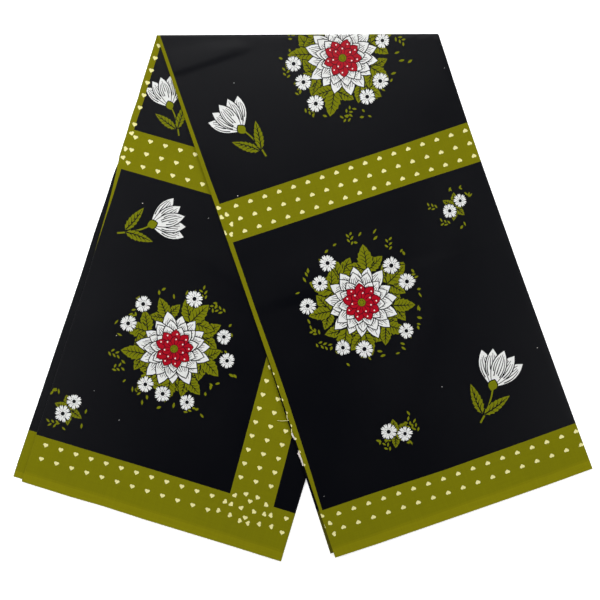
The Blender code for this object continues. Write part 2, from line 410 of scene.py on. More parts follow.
def bent(start, end, bow, steps=5):
    """Points from start to end, bowed to the right of that direction."""
    start, end = np.asarray(start, float), np.asarray(end, float)
    share = np.linspace(0, 1, steps)[:, None]
    aside = np.array((end[1] - start[1], start[0] - end[0]))
    return start + (end - start) * share + aside * bow * np.sin(math.pi * share)


def disc(radius, sides=14, x=0.0, y=0.0):
    angles = np.arange(sides) * 2 * math.pi / sides
    return np.column_stack((np.cos(angles), np.sin(angles))) * radius + (x, y)


def heart(leg):
    """The small heart that repeats along the bands, its point towards the hem."""
    turn = np.linspace(0, 2 * math.pi, 17)[:-1]
    across = np.sin(turn) ** 3
    up = 13 * np.cos(turn) - 4 * np.cos(2 * turn) - 1.3 * np.cos(3 * turn) - 0.7 * np.cos(4 * turn)
    up = (up - up.min()) / (up.max() - up.min()) - 0.5
    up = np.maximum(up * HEART_HEIGHT, -HEART_TIP[leg])
    return [("cream", np.column_stack((across * HEART_WIDTH / 2, up)))]


def leaf(rng, length, width, teeth=5):
    """A pointed leaf with teeth and veins, standing on the origin."""

    def half_width(share):
        return width / 2 * (share / 0.38) ** 0.6 * (1 - share) / 0.62

    side = []
    for share in np.linspace(0.13, 0.85, teeth):
        side.append((half_width(share) * 1.08, share * length))
        side.append((half_width(share) * 0.86, (share + 0.025) * length))
    side = np.array(side)
    outline = np.concatenate(([(0.0, 0.0)], side, [(0.0, length)], side[::-1] * (-1, 1)))
    middle = np.array((0.0, length / 2))
    border = (outline - middle) * (1 + 1.9 / width, 1 + 2.4 / length) + middle
    shapes = [("ground", border), ("leaf", outline)]
    rib = bent((0, 0.02 * length), (0, 0.90 * length), rng.uniform(-0.05, 0.05))
    shapes.append(("ground", stroke(rib, 1.15, 0.5)))
    for share in (0.16, 0.31, 0.46, 0.61):
        reach = 0.74 * half_width(share + 0.13)
        for aside in (-reach, reach):
            vein = bent((0, share * length), (aside, (share + 0.15) * length), -0.12 * aside / reach, 4)
            shapes.append(("ground", stroke(vein, 0.75, 0.3)))
    return shapes


def trefoil(rng, length):
    """Three toothed leaves from one stalk."""
    shapes = []
    for turn, size in ((64, 0.82), (-62, 0.88), (0, 1.0)):
        reach = length * size * rng.uniform(0.93, 1.07)
        shapes += placed(leaf(rng, reach, 0.60 * reach), 0, 0, turn + rng.uniform(-9, 9))
    return shapes


def petal(rng, length, width, ink="white", line="ground", fullest=0.62, lines=5):
    """A petal with fine lines drawn along it, standing on the origin."""
    shapes = [(line, blade(length + 1.8, width + 1.8, fullest) - (0, 0.7))]
    shapes.append((ink, blade(length, width, fullest)))
    for number in range(lines):
        aside = (number - (lines - 1) / 2) / max(lines - 1, 1)
        foot = rng.uniform(0.26, 0.52) * length
        head = rng.uniform(0.76, 0.93 - 0.2 * abs(aside)) * length
        path = bent((aside * width * 0.58, foot), (aside * width * 0.46, head), aside * 0.2)
        shapes.append((line, stroke(path, 0.95, 0.45)))
    return shapes


# A daisy's petal, as shares of the flower's radius: aside and outwards
DAISY_PETAL = (
    (0.07, 0.0), (0.14, 0.45), (0.21, 0.80), (0.18, 0.93), (0.10, 1.0), (0.02, 0.80),
    (-0.06, 1.02), (-0.16, 0.95), (-0.21, 0.80), (-0.14, 0.45), (-0.07, 0.0),
)


def daisy(rng, radius, petals=10):
    """A small white daisy: ragged, notched petals round a dark eye."""
    shapes = [("ground", disc(radius, 20))]
    for number in range(petals):
        angle = 360 / petals * number + rng.uniform(-3.5, 3.5)
        outline = np.array(DAISY_PETAL) * radius * (10 / petals, rng.uniform(0.92, 1.08))
        slit = stroke(((0, 0.34 * radius), (0, rng.uniform(0.48, 0.62) * radius)), 0.5, 0.25)
        shapes += placed([("white", outline), ("ground", slit)], 0, 0, angle)
    return shapes + [("ground", disc(radius * 0.26))]


def leaflets(rng):
    """A tiny twig of alternate leaflets, or a loose one or two."""
    shapes = []
    if rng.random() < 0.3:
        for number in range(5):
            side = (-1) ** number
            leaflet = blade(rng.uniform(4.2, 5.4), 2.1, 0.5, 6)
            shapes += placed([("leaf", leaflet)], 0.4 * side, 2.4 * number, -side * rng.uniform(30, 55))
        return shapes
    for number in range(rng.choice((1, 1, 2))):
        leaflet = blade(rng.uniform(4.0, 6.5), rng.uniform(1.8, 2.8), 0.5, 6)
        shapes += placed([("leaf", leaflet)], 4.5 * number, rng.uniform(-3.0, 3.0), rng.uniform(0, 360))
    return shapes


# The large flower, in millimetres from its middle. Its rings of petals from the outside in: how many,
# how long and how wide. The white petals' sizes vary, and each angle is off by a share of a step.
WHITE_RINGS = ((15, 37, 13.0), (13, 30, 12.0), (11, 23.5, 10.5))
RED_RINGS = ((9, 19.5, 9.5), (7, 12.5, 7.0))
PETAL_SIZES = (0.92, 1.08)
PETAL_UNEVEN = 0.12

# What lies round it
WREATH_LEAFLETS = 32
LEAFLETS_OUT = (55, 68)
WREATH_TREFOILS = 9
TREFOIL_OUT = (30, 34)
TREFOIL_LENGTH = (23, 28)
WREATH_DAISIES = (8, 33, 61, 124, 150, 205, 262, 288)
DAISY_OUT = (45, 57)
DAISY_RADIUS = (7.6, 8.8)

# Its red petals' shine, and the dots in its middle: how far out and how large
SHINE = 0.8
DOTS = 7
DOTS_OUT = 2.3
DOT = 0.5


def outwards(reach, angle):
    """The place at a distance from the middle, at an angle anticlockwise from straight up."""
    return turned(((0, reach),), angle)[0]


def round_ring(rng, count, uneven, start=0.0):
    """Angles all round a ring, each one drawn when it is needed."""
    for number in range(count):
        yield start + 360 / count * (number + rng.uniform(-uneven, uneven))


def wreath(rng):
    """The large flower: rings of lined petals round a red heart, in a ring of leaves and daisies."""
    shapes = []
    for angle in round_ring(rng, WREATH_LEAFLETS, 0.4):
        x, y = outwards(rng.uniform(*LEAFLETS_OUT), angle)
        shapes += placed(leaflets(rng), x, y, rng.uniform(0, 360))
    for angle in round_ring(rng, WREATH_TREFOILS, 0.25):
        leaves = trefoil(rng, rng.uniform(*TREFOIL_LENGTH))
        leaves = placed(leaves, 0, rng.uniform(*TREFOIL_OUT), rng.uniform(-24, 24))
        shapes += placed(leaves, 0, 0, angle)
    for angle in WREATH_DAISIES:
        x, y = outwards(rng.uniform(*DAISY_OUT), angle)
        flower = daisy(rng, rng.uniform(*DAISY_RADIUS), rng.choice((9, 10, 11)))
        shapes += placed(flower, x, y, rng.uniform(0, 30))
    for petals, length, width in WHITE_RINGS:
        for angle in round_ring(rng, petals, PETAL_UNEVEN, rng.uniform(0, 30)):
            shapes += placed(petal(rng, length, width), 0, 0, angle, rng.uniform(*PETAL_SIZES))
    for petals, length, width in RED_RINGS:
        for angle in round_ring(rng, petals, PETAL_UNEVEN, rng.uniform(0, 40)):
            drawn = petal(rng, length, width, "red", "crimson", 0.64, 1)
            drawn += placed([("white", disc(SHINE, 8))], 1.6, length * 0.78)
            shapes += placed(drawn, 0, 0, angle)
    shapes += [("crimson", disc(4.6)), ("leaf", disc(3.9))]
    for number in range(DOTS):
        shapes.append(("ground", disc(DOT, 6, *outwards(DOTS_OUT, 360 / DOTS * number))))
    return shapes


def spray(rng):
    """A white bell flower on a stem with two long leaves."""
    shapes = [("leaf", stroke(bent((0, -34), (0, 2), 0.06, 7), 1.6, 1.3))]
    for side in (-1, 1):
        shapes += placed(leaf(rng, 27, 8.5, 6), side * 1.0, -26, -side * rng.uniform(30, 40))
    for angle in (-34, 34, -17, 17, 0):
        shapes += placed(petal(rng, 33, 11.5, fullest=0.56), 0, -2, angle)
    shapes += placed([("ground", blade(10.5, 9.2)), ("leaf", blade(9.5, 7.8))], 0, -5)
    return shapes


def posy(rng):
    """Two daisies among small leaves."""
    shapes = []
    for angle in (-75, -15, 40, 95, 150, 215):
        shapes += placed(leaf(rng, rng.uniform(14, 18), 9), 0, 0, angle)
    for _ in range(7):
        x, y = outwards(rng.uniform(17, 24), rng.uniform(0, 360))
        shapes += placed(leaflets(rng), x, y)
    return shapes + placed(daisy(rng, 8.4), -6, 5) + placed(daisy(rng, 7.6, 9), 8, -5, 12)


# The flowers on each leg: across from its left edge and up from its hem, in millimetres, turn and scale
FLOWERS = {
    "right": (
        (wreath, 124.0, 266.0, 14.0, 1.12),
        (spray, 236.0, 128.0, -38.0, 1.35),
        (posy, 112.0, 112.0, 10.0, 1.1),
        (spray, 58.0, 500.0, 24.0, 1.25),
        (wreath, 196.0, 541.0, 70.0, 1.12),
        (posy, 264.0, 336.0, 60.0, 1.0),
    ),
    "left": (
        (wreath, 122.0, 196.0, 150.0, 1.12),
        (spray, 56.0, 326.0, -60.0, 1.25),
        (posy, 26.0, 96.0, 100.0, 1.1),
        (spray, 38.0, 464.0, 34.0, 1.1),
    ),
}

# Small specks of unprinted cloth, in millimetres
SPECKS = 14
SPECK_ACROSS = (10, WIDTH)
SPECK_UP = (70, 640)
SPECK_RADIUS = (0.3, 0.6)

# Each leg's print is uneven in a way of its own
SEEDS = {"right": 11, "left": 7}


def band(foot, head, ink="olive"):
    """A band between two lines of points."""
    return [(ink, np.array(tuple(foot) + tuple(head)[::-1]))]


def level_line(up):
    return ((-OVERHANG, up), (FAR, up))


def left_of(line):
    """An upright line past the cloth's left side, as high as another line."""
    return ((-OVERHANG, line[0][1]), (-OVERHANG, line[-1][1]))


def heart_places(leg):
    """Where a leg's hearts lie, and how far each is turned."""
    straight = 180.0 if leg == "right" else 0.0
    places = list(SINGLE_HEARTS[leg])
    for line, first, above, pitch, row_pitch, columns, rows in HEART_ROWS[leg]:
        for column in range(columns):
            across = first + column * pitch
            foot = np.interp(across, *np.array(line).T) + above
            places += [(across, foot + row * row_pitch, straight) for row in range(rows)]
    for line, beside, foot, pitch, row_pitch, columns, rows in HEART_COLUMNS[leg]:
        sides, ups = np.array(line).T
        for row in range(rows):
            up = foot + row * row_pitch
            first = np.interp(up, ups, sides) + beside
            places += [(first + column * pitch, up, straight) for column in range(columns)]
    if leg == "left":
        places += [(CORNER_AXIS, up, 0.0) for up in AXIS_HEARTS]
        for aside, up, turn in CORNER_HEARTS:
            places += [(CORNER_AXIS + side * aside, up, -side * turn) for side in (-1, 1)]
    return places


def printed(leg):
    """All that is printed on a leg's top layer, from the ground up."""
    rng = random.Random(SEEDS[leg])
    shapes = []
    for motif, across, up, turn, scale in FLOWERS[leg]:
        shapes += placed(motif(rng), across, up, turn, scale)
    for _ in range(SPECKS):
        speck = disc(rng.uniform(*SPECK_RADIUS), 6)
        shapes += placed([("white", speck)], rng.uniform(*SPECK_ACROSS), rng.uniform(*SPECK_UP))
    shapes += band(level_line(SELVEDGE_TOP), HEM_BAND_TOP[leg])
    shapes += band(CROSSBAR_FOOT[leg], CROSSBAR_HEAD[leg])
    if leg == "right":
        shapes += band(left_of(SIDE_STRIPE), SIDE_STRIPE)
    else:
        shapes += band(UPRIGHT_LEFT, UPRIGHT_RIGHT)
        shapes += band(left_of(EDGE_WEDGE), EDGE_WEDGE)
    shapes += band(level_line(-OVERHANG), level_line(SELVEDGE_TOP + SELVEDGE_BORDER), "selvedge border")
    shapes += band(level_line(-OVERHANG), level_line(SELVEDGE_TOP), "selvedge")
    for across, up, turn in heart_places(leg):
        shapes += placed(heart(leg), across, up, turn)
    return shapes


# How much light falls on the cloth, in the camera's units
EXPOSURE = 1.12


def linear(ink):
    """An ink's own colour as linear light, from how it looks in the photograph's light."""
    share = np.array(INKS[ink]) / 255
    light = np.where(share <= 0.04045, share / 12.92, ((share + 0.055) / 1.055) ** 2.4)
    return light / EXPOSURE


# Drawn corners merge within this many millimetres
MERGE_DISTANCE = 0.002

# Fineness of the meshes, in metres or as numbers of steps
GRID = 0.006
SLOPE_STEP = 1e-4
FOLD_STEPS = 6
TOP_FOLD_STEPS = 10
COLUMNS = 32
ROW_SPACING = 0.010
FAN_START = 0.445
FAN_STEPS = 20

# Edges of the hidden sheets are sharp over this angle
SHARP_ANGLE = math.radians(50)

# The visible layers, the layers at their sides, and how far past the fold's start they run, in metres
TOP_SHEETS = {
    "right": {"layer": 1, "left": (1,), "right": (1, 4), "past": math.pi * FOLD_RADIUS},
    "left": {"layer": 6, "left": (3, 6), "right": (5, 6), "past": -0.0002},
}


def flat_span(leg):
    """Where a top layer's flat part starts and ends, and its folds' radii, nought for a cut edge."""
    sheet = TOP_SHEETS[leg]
    sides = (sheet["left"], sheet["right"])
    radii = [fold_radius(leg, layers) if len(layers) == 2 else 0.0 for layers in sides]
    start = radii[0] + CLOTH / 2 if radii[0] else 0.0
    end = STRIP_WIDTH - radii[1] - CLOTH / 2
    return start, end, radii


def top_surface(leg, along, up, offset):
    """A top layer in space. Along runs across the flat cloth, past the folds too."""
    sheet = TOP_SHEETS[leg]
    start, end, radii = flat_span(leg)
    low = inset(leg, "left", sheet["left"], up)
    high = STRIP_WIDTH - inset(leg, "right", sheet["right"], up)
    across = low + np.clip(along, start, end) * (high - low) / STRIP_WIDTH
    level = np.full(len(along), level_of(leg, sheet["layer"]) + offset)
    for side, radius, beyond in ((-1, radii[0], start - along), (1, radii[1], along - end)):
        if radius:
            turn = np.maximum(beyond, 0.0) / radius
            across = across + side * (radius + offset) * np.sin(turn)
            level = level + (radius + offset) * (np.cos(turn) - 1)
    return lie(leg, across, up, level)


def top_flat(leg):
    """A top layer's flat outline and the lines that it bends along, in metres."""
    start, end, radii = flat_span(leg)
    past = TOP_SHEETS[leg]["past"]
    low = start - math.pi * radii[0] if radii[0] else 0.0
    high = end + math.pi * radii[1]

    def top(along, beyond):
        return top_of(leg, np.clip(along, start, end), beyond)

    places = (low, start, end, high)
    outline = [(along, 0.0) for along in places]
    outline += [(along, top(along, past)) for along in places[::-1]]
    lines = []
    for side, edge, radius in ((-1, start, radii[0]), (1, end, radii[1])):
        for step in range(FOLD_STEPS if radius else 0):
            along = edge + side * math.pi * radius * step / FOLD_STEPS
            lines.append(((along, 0.0), (along, top(along, past))))
    if past > 0:
        for step in range(TOP_FOLD_STEPS):
            beyond = past * step / TOP_FOLD_STEPS
            lines.append(((low, top(low, beyond)), (high, top(high, beyond))))
    return outline, lines


def divided(start, end):
    """Points from start towards end, a grid step apart, with start and without end."""
    start, end = np.array(start), np.array(end)
    steps = max(1, round(np.linalg.norm(end - start) / GRID))
    return [start + (end - start) * step / steps for step in range(steps)]


def cut(points, edges, faces):
    """Flat points, edges and outlines cut into triangles, and the outlines that each one lies in."""
    vectors = [Vector((float(x), float(y))) for x, y in points]
    flat, _, triangles, _, _, sources = delaunay_2d_cdt(vectors, edges, faces, 0, MERGE_DISTANCE, True)
    return np.array([tuple(point) for point in flat]), triangles, sources


def turning(outline):
    """Twice the area inside an outline, below nought if it runs clockwise."""
    x, y = np.array(outline).T
    return (x * np.roll(y, -1) - y * np.roll(x, -1)).sum()


def inked(ring, shapes):
    """The print cut along every shape's outline: points, triangles and the topmost ink of each."""
    loops = [ring] + [loop for _, loop in shapes]
    points, faces = [], []
    for loop in loops:
        faces.append(list(range(len(points), len(points) + len(loop))))
        points.extend(loop if turning(loop) > 0 else loop[::-1])
    flat, triangles, sources = cut(points, [], faces)
    centres = flat[np.array(triangles)].mean(axis=1).tolist()
    boxes = [(*loop.min(axis=0), *loop.max(axis=0)) for loop in loops]
    names = ["ground"] + [ink for ink, _ in shapes]

    def boxed(number, x, y):
        left, foot, right, head = boxes[number]
        return left <= x <= right and foot <= y <= head

    kept, inks = [], []
    for triangle, source, centre in zip(triangles, sources, centres):
        if 0 in source:
            kept.append(triangle)
            inks.append(names[max(number for number in source if boxed(number, *centre))])
    return flat, kept, inks


def edge_inks(triangles, inks):
    """The ink beside each edge of the triangles, by the edge's two corners in turn."""
    beside = {}
    for triangle, ink in zip(triangles, inks):
        for edge in zip(triangle, triangle[1:] + triangle[:1]):
            beside[edge] = ink
    return beside


def printed_edges(triangles, inks):
    """Edges between triangles of different inks."""
    beside = edge_inks(triangles, inks)
    return [(a, b) for (a, b), ink in beside.items() if a < b and beside.get((b, a), ink) != ink]


def triangulated(outline, lines, shapes):
    """The flat cloth cut into triangles along its bends and printed edges, and each one's ink."""
    ring = []
    for start, end in zip(outline, outline[1:] + outline[:1]):
        if start != end:
            ring += divided(start, end)
    ring = np.array(ring) / MM
    drawn, pieces, colours = inked(ring, shapes)
    points, edges, numbers = list(ring), [], {}

    def added(point):
        points.append(point)
        return len(points) - 1

    for edge in printed_edges(pieces, colours):
        for corner in edge:
            if corner not in numbers:
                numbers[corner] = added(drawn[corner])
        inner = [added(point / MM) for point in divided(*drawn[list(edge)] * MM)[1:]]
        path = [numbers[edge[0]], *inner, numbers[edge[1]]]
        edges += zip(path, path[1:])
    for start, end in lines:
        path = [added(point / MM) for point in divided(start, end) + [np.array(end)]]
        edges += zip(path, path[1:])
    low, high = np.min(outline, 0), np.max(outline, 0)
    for across in np.arange(low[0] + GRID / 2, high[0], GRID):
        for up in np.arange(low[1] + GRID / 2, high[1], GRID):
            points.append((across / MM, up / MM))
    flat, triangles, sources = cut(points, edges, [list(range(len(ring)))])
    kept = np.array([triangle for triangle, source in zip(triangles, sources) if 0 in source])
    drawing = BVHTree.FromPolygons([(x, y, 0.0) for x, y in drawn.tolist()], pieces)
    centres = flat[kept].mean(axis=1).tolist()
    inks = [colours[drawing.find_nearest((x, y, 0.0))[2]] for x, y in centres]
    return flat * MM, kept, inks


def cloth_mesh(name, points, faces, inks, flat, normals=None):
    """A mesh with its ink as a colour on each face's corners and its flat place as a UV map."""
    mesh = bpy.data.meshes.new(name)
    mesh.from_pydata(points.tolist(), [], faces)
    sizes = [len(face) for face in faces]
    colours = {ink: (*linear(ink), 1.0) for ink in INKS}
    corner_colours = np.repeat(np.array([colours[ink] for ink in inks]), sizes, axis=0)
    layer = mesh.color_attributes.new("print", "FLOAT_COLOR", "CORNER")
    layer.data.foreach_set("color", corner_colours.ravel())
    places = flat[np.concatenate(faces)].astype(np.float32)
    mesh.uv_layers.new(name="cloth").uv.foreach_set("vector", places.ravel())
    mesh.shade_smooth()
    if normals is None:
        mesh.set_sharp_from_angle(angle=SHARP_ANGLE)
    else:
        mesh.normals_split_custom_set(normals)
    obj = bpy.data.objects.new(name, mesh)
    bpy.context.scene.collection.objects.link(obj)
    mesh.materials.append(COTTON)
    return obj


# Threads frayed from the right leg's cut edge, in millimetres on its strip: each one's ink, where it
# starts and ends, its widths there, how far it bows, and how much of the stack's height it sinks
THREADS = (
    ("cream", (0.5, 172.2), (-0.6, 166.5), 0.9, 0.5, 0.05, 0.0),
    ("cream", (0.4, 165.6), (-12.0, 169.4), 0.5, 0.5, -0.04, 0.8),
    ("cream", (0.3, 155.5), (-0.9, 150.0), 1.0, 0.7, 0.05, 0.0),
    ("thread", (-1.0, 150.6), (0.5, 142.2), 1.9, 1.5, 0.06, 0.0),
    ("thread", (0.4, 129.6), (-1.3, 125.4), 0.8, 1.8, 0.05, 0.0),
    ("thread", (-1.3, 127.0), (-1.0, 111.2), 2.5, 1.3, -0.04, 0.0),
)
THREAD_STEPS = 7
THREAD_HEIGHT = 0.00026


def quad(corner, first, second):
    """A face's corners, from one corner's number and the steps from it along the face's two sides."""
    return [corner, corner + first, corner + first + second, corner + second]


def with_threads(points, flat, faces, inks, normals):
    """A sheet's mesh together with the loose threads, as tapered four-sided tubes."""
    for ink, start, end, width, tip, bow, sinks in THREADS:
        path = bent(start, end, bow, THREAD_STEPS)
        aside = sideways(path)
        half = np.linspace(width, tip, THREAD_STEPS)[:, None] / 2
        level = level_of("right", 1) - np.linspace(0, sinks, THREAD_STEPS) * LEG_HEIGHT
        first = len(points)
        for side, rise in ((1, 0), (0, 1), (-1, 0), (0, -1)):
            place = (path + side * aside * half) * MM
            points = np.concatenate((points, lie("right", *place.T, level + rise * THREAD_HEIGHT / 2)))
            flat = np.concatenate((flat, place))
        quads = [list(range(first, len(points), THREAD_STEPS))]
        quads.append(list(range(len(points) - 1, first, -THREAD_STEPS)))
        for side in range(4):
            around = THREAD_STEPS if side < 3 else -3 * THREAD_STEPS
            for step in range(THREAD_STEPS - 1):
                quads.append(quad(first + side * THREAD_STEPS + step, 1, around))
        for face in quads:
            a, b, c = points[face[:3]]
            normals = np.concatenate((normals, [unit(np.cross(b - a, c - a))] * 4))
        faces += quads
        inks += [ink] * len(quads)
    return points, flat, faces, inks, normals


def top_sheet(leg, name):
    """A leg's visible layer as a thin closed shell: printed face, and reverse darker as painted shade."""
    outline, lines = top_flat(leg)
    flat, triangles, inks = triangulated(outline, lines, printed(leg))
    used, triangles = np.unique(triangles, return_inverse=True)
    triangles = triangles.reshape(-1, 3)
    flat = flat[used]
    along, up = flat.T
    count = len(flat)
    upper = top_surface(leg, along, up, CLOTH / 2)
    under = top_surface(leg, along, up, -CLOTH / 2)
    right = top_surface(leg, along + SLOPE_STEP, up, CLOTH / 2) - upper
    ahead = top_surface(leg, along, up + SLOPE_STEP, CLOTH / 2) - upper
    normal = units(np.cross(right, ahead))

    points = np.concatenate((upper, under))
    faces = triangles.tolist() + (triangles[:, ::-1] + count).tolist()
    beside = edge_inks(triangles.tolist(), inks)
    rim = sorted((a, b) for a, b in beside if (b, a) not in beside)
    rim_normals = []
    for a, b in rim:
        faces.append([b, a, a + count, b + count])
        rim_normals += [unit(np.cross(upper[b] - upper[a], normal[a]))] * 4
    face_normals = normal[triangles].reshape(-1, 3)
    reverse_normals = -normal[triangles[:, ::-1]].reshape(-1, 3)
    normals = np.concatenate((face_normals, reverse_normals, rim_normals))
    # The reverse takes the darker inks, as painted shade
    inks = inks + [PAINTED_SHADE_INKS.get(ink, ink) for ink in inks] + [beside[edge] for edge in rim]
    flat = np.concatenate((flat, flat))
    if leg == "right":
        points, flat, faces, inks, normals = with_threads(points, flat, faces, inks, normals)
    return cloth_mesh(name, points, faces, inks, flat, normals)


# Where the hidden layers change colour, in metres up from their hems
HIDDEN_BANDS = {
    "right": (SELVEDGE_TOP * MM, 0.0572, 0.378, 0.4255),
    "left": (SELVEDGE_TOP * MM, 0.0595, 0.378, 0.4255),
}


def band_ink(leg, up):
    """What colour a hidden layer has, metres up from its hem."""
    selvedge, hem_band, foot, head = HIDDEN_BANDS[leg]
    if up < selvedge:
        return "selvedge"
    return "olive" if up < hem_band or foot < up < head else "ground"


def flat_end(leg, side, layers, up):
    """How far across the strip a layer's flat part ends, at a cut edge or where its fold begins."""
    inside = inset(leg, side, layers, up)
    if len(layers) == 2:
        inside = inside + fold_radius(leg, layers) + CLOTH / 2
    return inside if side == "left" else STRIP_WIDTH - inside


def joined_sides(layers, first, last):
    """Where each layer of a stretch of cloth starts, and the last one ends: side and layers."""
    ends = [first]
    for layer, following in zip(layers, layers[1:]):
        side = "left" if ends[-1][0] == "right" else "right"
        ends.append((side, tuple(sorted((layer, following)))))
    return ends + [last]


def section(leg, layers, ends, up):
    """The middle line of a stretch of cloth across the strip, at heights up from the hem: across,
    level, its direction's share across and upwards, and its hem's inset."""
    line = []
    for number, layer in enumerate(layers):
        level = np.full(len(up), level_of(leg, layer))
        start, end = (flat_end(leg, *place, up) for place in ends[number:number + 2])
        heading = 1.0 if ends[number][0] == "left" else -1.0
        hem = HEM_INSETS[leg][layer]
        for column in range(COLUMNS + 1):
            line.append((start + (end - start) * column / COLUMNS, level, heading, 0.0, hem))
        if number + 1 < len(layers):
            following = layers[number + 1]
            radius = fold_radius(leg, (layer, following))
            rise = 1.0 if level_of(leg, following) > level[0] else -1.0
            for step in range(1, FOLD_STEPS):
                share = step / FOLD_STEPS
                turn = math.pi * step / FOLD_STEPS
                across = end + heading * radius * math.sin(turn)
                height = level + rise * radius * (1 - math.cos(turn))
                inwards = hem + (HEM_INSETS[leg][following] - hem) * share
                line.append((across, height, heading * math.cos(turn), rise * math.sin(turn), inwards))
    return line


def hidden_rows(leg):
    """The rows of a hidden sheet's mesh: how far up from the hem, what share of the way from there to
    the slanting fold, and how far round the fold."""
    steps = [0.0]
    for low, high in zip((0.0,) + HIDDEN_BANDS[leg], HIDDEN_BANDS[leg] + (FAN_START,)):
        count = max(1, round((high - low) / ROW_SPACING))
        steps += [low + (high - low) * step / count for step in range(1, count + 1)]
    rows = [(up, 0.0, 0.0) for up in steps]
    rows += [(FAN_START, step / FAN_STEPS, 0.0) for step in range(1, FAN_STEPS + 1)]
    if leg == "right":
        for step in range(1, TOP_FOLD_STEPS + 1):
            rows.append((FAN_START, 1.0, math.pi * FOLD_RADIUS * (step / TOP_FOLD_STEPS)))
    return np.array(rows).T


def hidden_sheet(leg, name, layers, first, last, reverse):
    """Layers that one stretch of cloth runs through, joined by the folds at their sides. First and
    last are where it starts and ends, and reverse is which of its two faces is the cloth's reverse,
    printed darker as painted shade."""
    ups, fans, pasts = hidden_rows(leg)
    line = section(leg, layers, joined_sides(layers, first, last), ups)
    rows, columns = len(ups), len(line)
    points = np.zeros((2, rows, columns, 3))
    flat = np.zeros((rows, columns, 2))
    travelled = np.zeros(rows)
    before = line[0]
    for column, (across, level, heading, rise, hem) in enumerate(line):
        up = ups + (top_of(leg, across) - ups) * fans + top_of(leg, across, pasts) - top_of(leg, across)
        up[0] += hem * MM
        for grid, offset in enumerate((CLOTH / 2, -CLOTH / 2)):
            points[grid, :, column] = lie(leg, across - offset * rise, up, level + offset * heading)
        travelled = travelled + np.hypot(across - before[0], level - before[1])
        before = (across, level)
        flat[:, column] = np.column_stack((travelled, up))

    faces, inks = [], []

    # Faces on the cloth's reverse take the darker inks, as painted shade
    def add(row, face, shaded=False):
        ink = band_ink(leg, ups[row:row + 2].mean())
        faces.append(face)
        inks.append(PAINTED_SHADE_INKS.get(ink, ink) if shaded else ink)

    end, side, through = rows - 1, columns - 1, rows * columns
    for row in range(end):
        start = row * columns
        for corner in range(start, start + side):
            add(row, quad(corner, 1, columns), reverse == 0)
            add(row, quad(corner + through, columns, 1), reverse == 1)
        add(row, quad(start, columns, through))
        add(row, quad(start + side, through, columns))
    for column in range(side):
        add(0, quad(column, through, 1))
        add(end, quad(end * columns + column, 1, through))
    flat = np.tile(flat.reshape(-1, 2), (2, 1))
    obj = cloth_mesh(name, points.reshape(-1, 3), faces, inks, flat)
    return obj, float(np.median(travelled))


def fill(tree, node, sockets):
    """Sets a node's sockets to values or links them to other nodes' outputs, and gives its outputs."""
    for name, value in sockets.items():
        if isinstance(value, bpy.types.NodeSocket):
            tree.links.new(value, node.inputs[name])
        else:
            node.inputs[name].default_value = value
    return node.outputs


def added_node(tree, kind, sockets):
    """A new node's outputs, its sockets filled."""
    return fill(tree, tree.nodes.new(kind), sockets)


def map_range(tree, value, start, end):
    """Values between the first pair turned into values between the second."""
    sockets = dict(zip(("From Min", "From Max", "To Min", "To Max"), (*start, *end)))
    return added_node(tree, "ShaderNodeMapRange", {"Value": value, **sockets})["Result"]


def new_material(name):
    """A material, its node tree and its shader."""
    material = bpy.data.materials.new(name)
    material.use_nodes = True
    return material, material.node_tree, material.node_tree.nodes["Principled BSDF"]


# The cotton's gloss: its roughness where the black ground is glazed, how much rougher a coloured ink
# is, and from how much green light on
SPECULAR = 0.105
GLAZE = (0.34, 0.38)
INK_DULLNESS = 0.5
COLOURED = 0.1

# Its uneven dye: how strong it is, and how many clouds and slubs of thicker thread a metre, the slubs
# drawn out one way and narrow the other
DYE = (0.97, 1.03)
CLOUDS = 9.0
GLAZE_CLOUDS = 12.0
SLUBS = 260.0
SLUB_LONG = 0.12
SLUB_NARROW = 2.2
NOISE_RANGE = (0.3, 0.7)

# Its weave, in metres, its share of the relief beside the slubs, and how strongly that shows
WEAVE_PITCH = 0.0007
WEAVE_DEPTH = 0.00006
WEAVE_SHARE = 0.5
RELIEF = 0.35


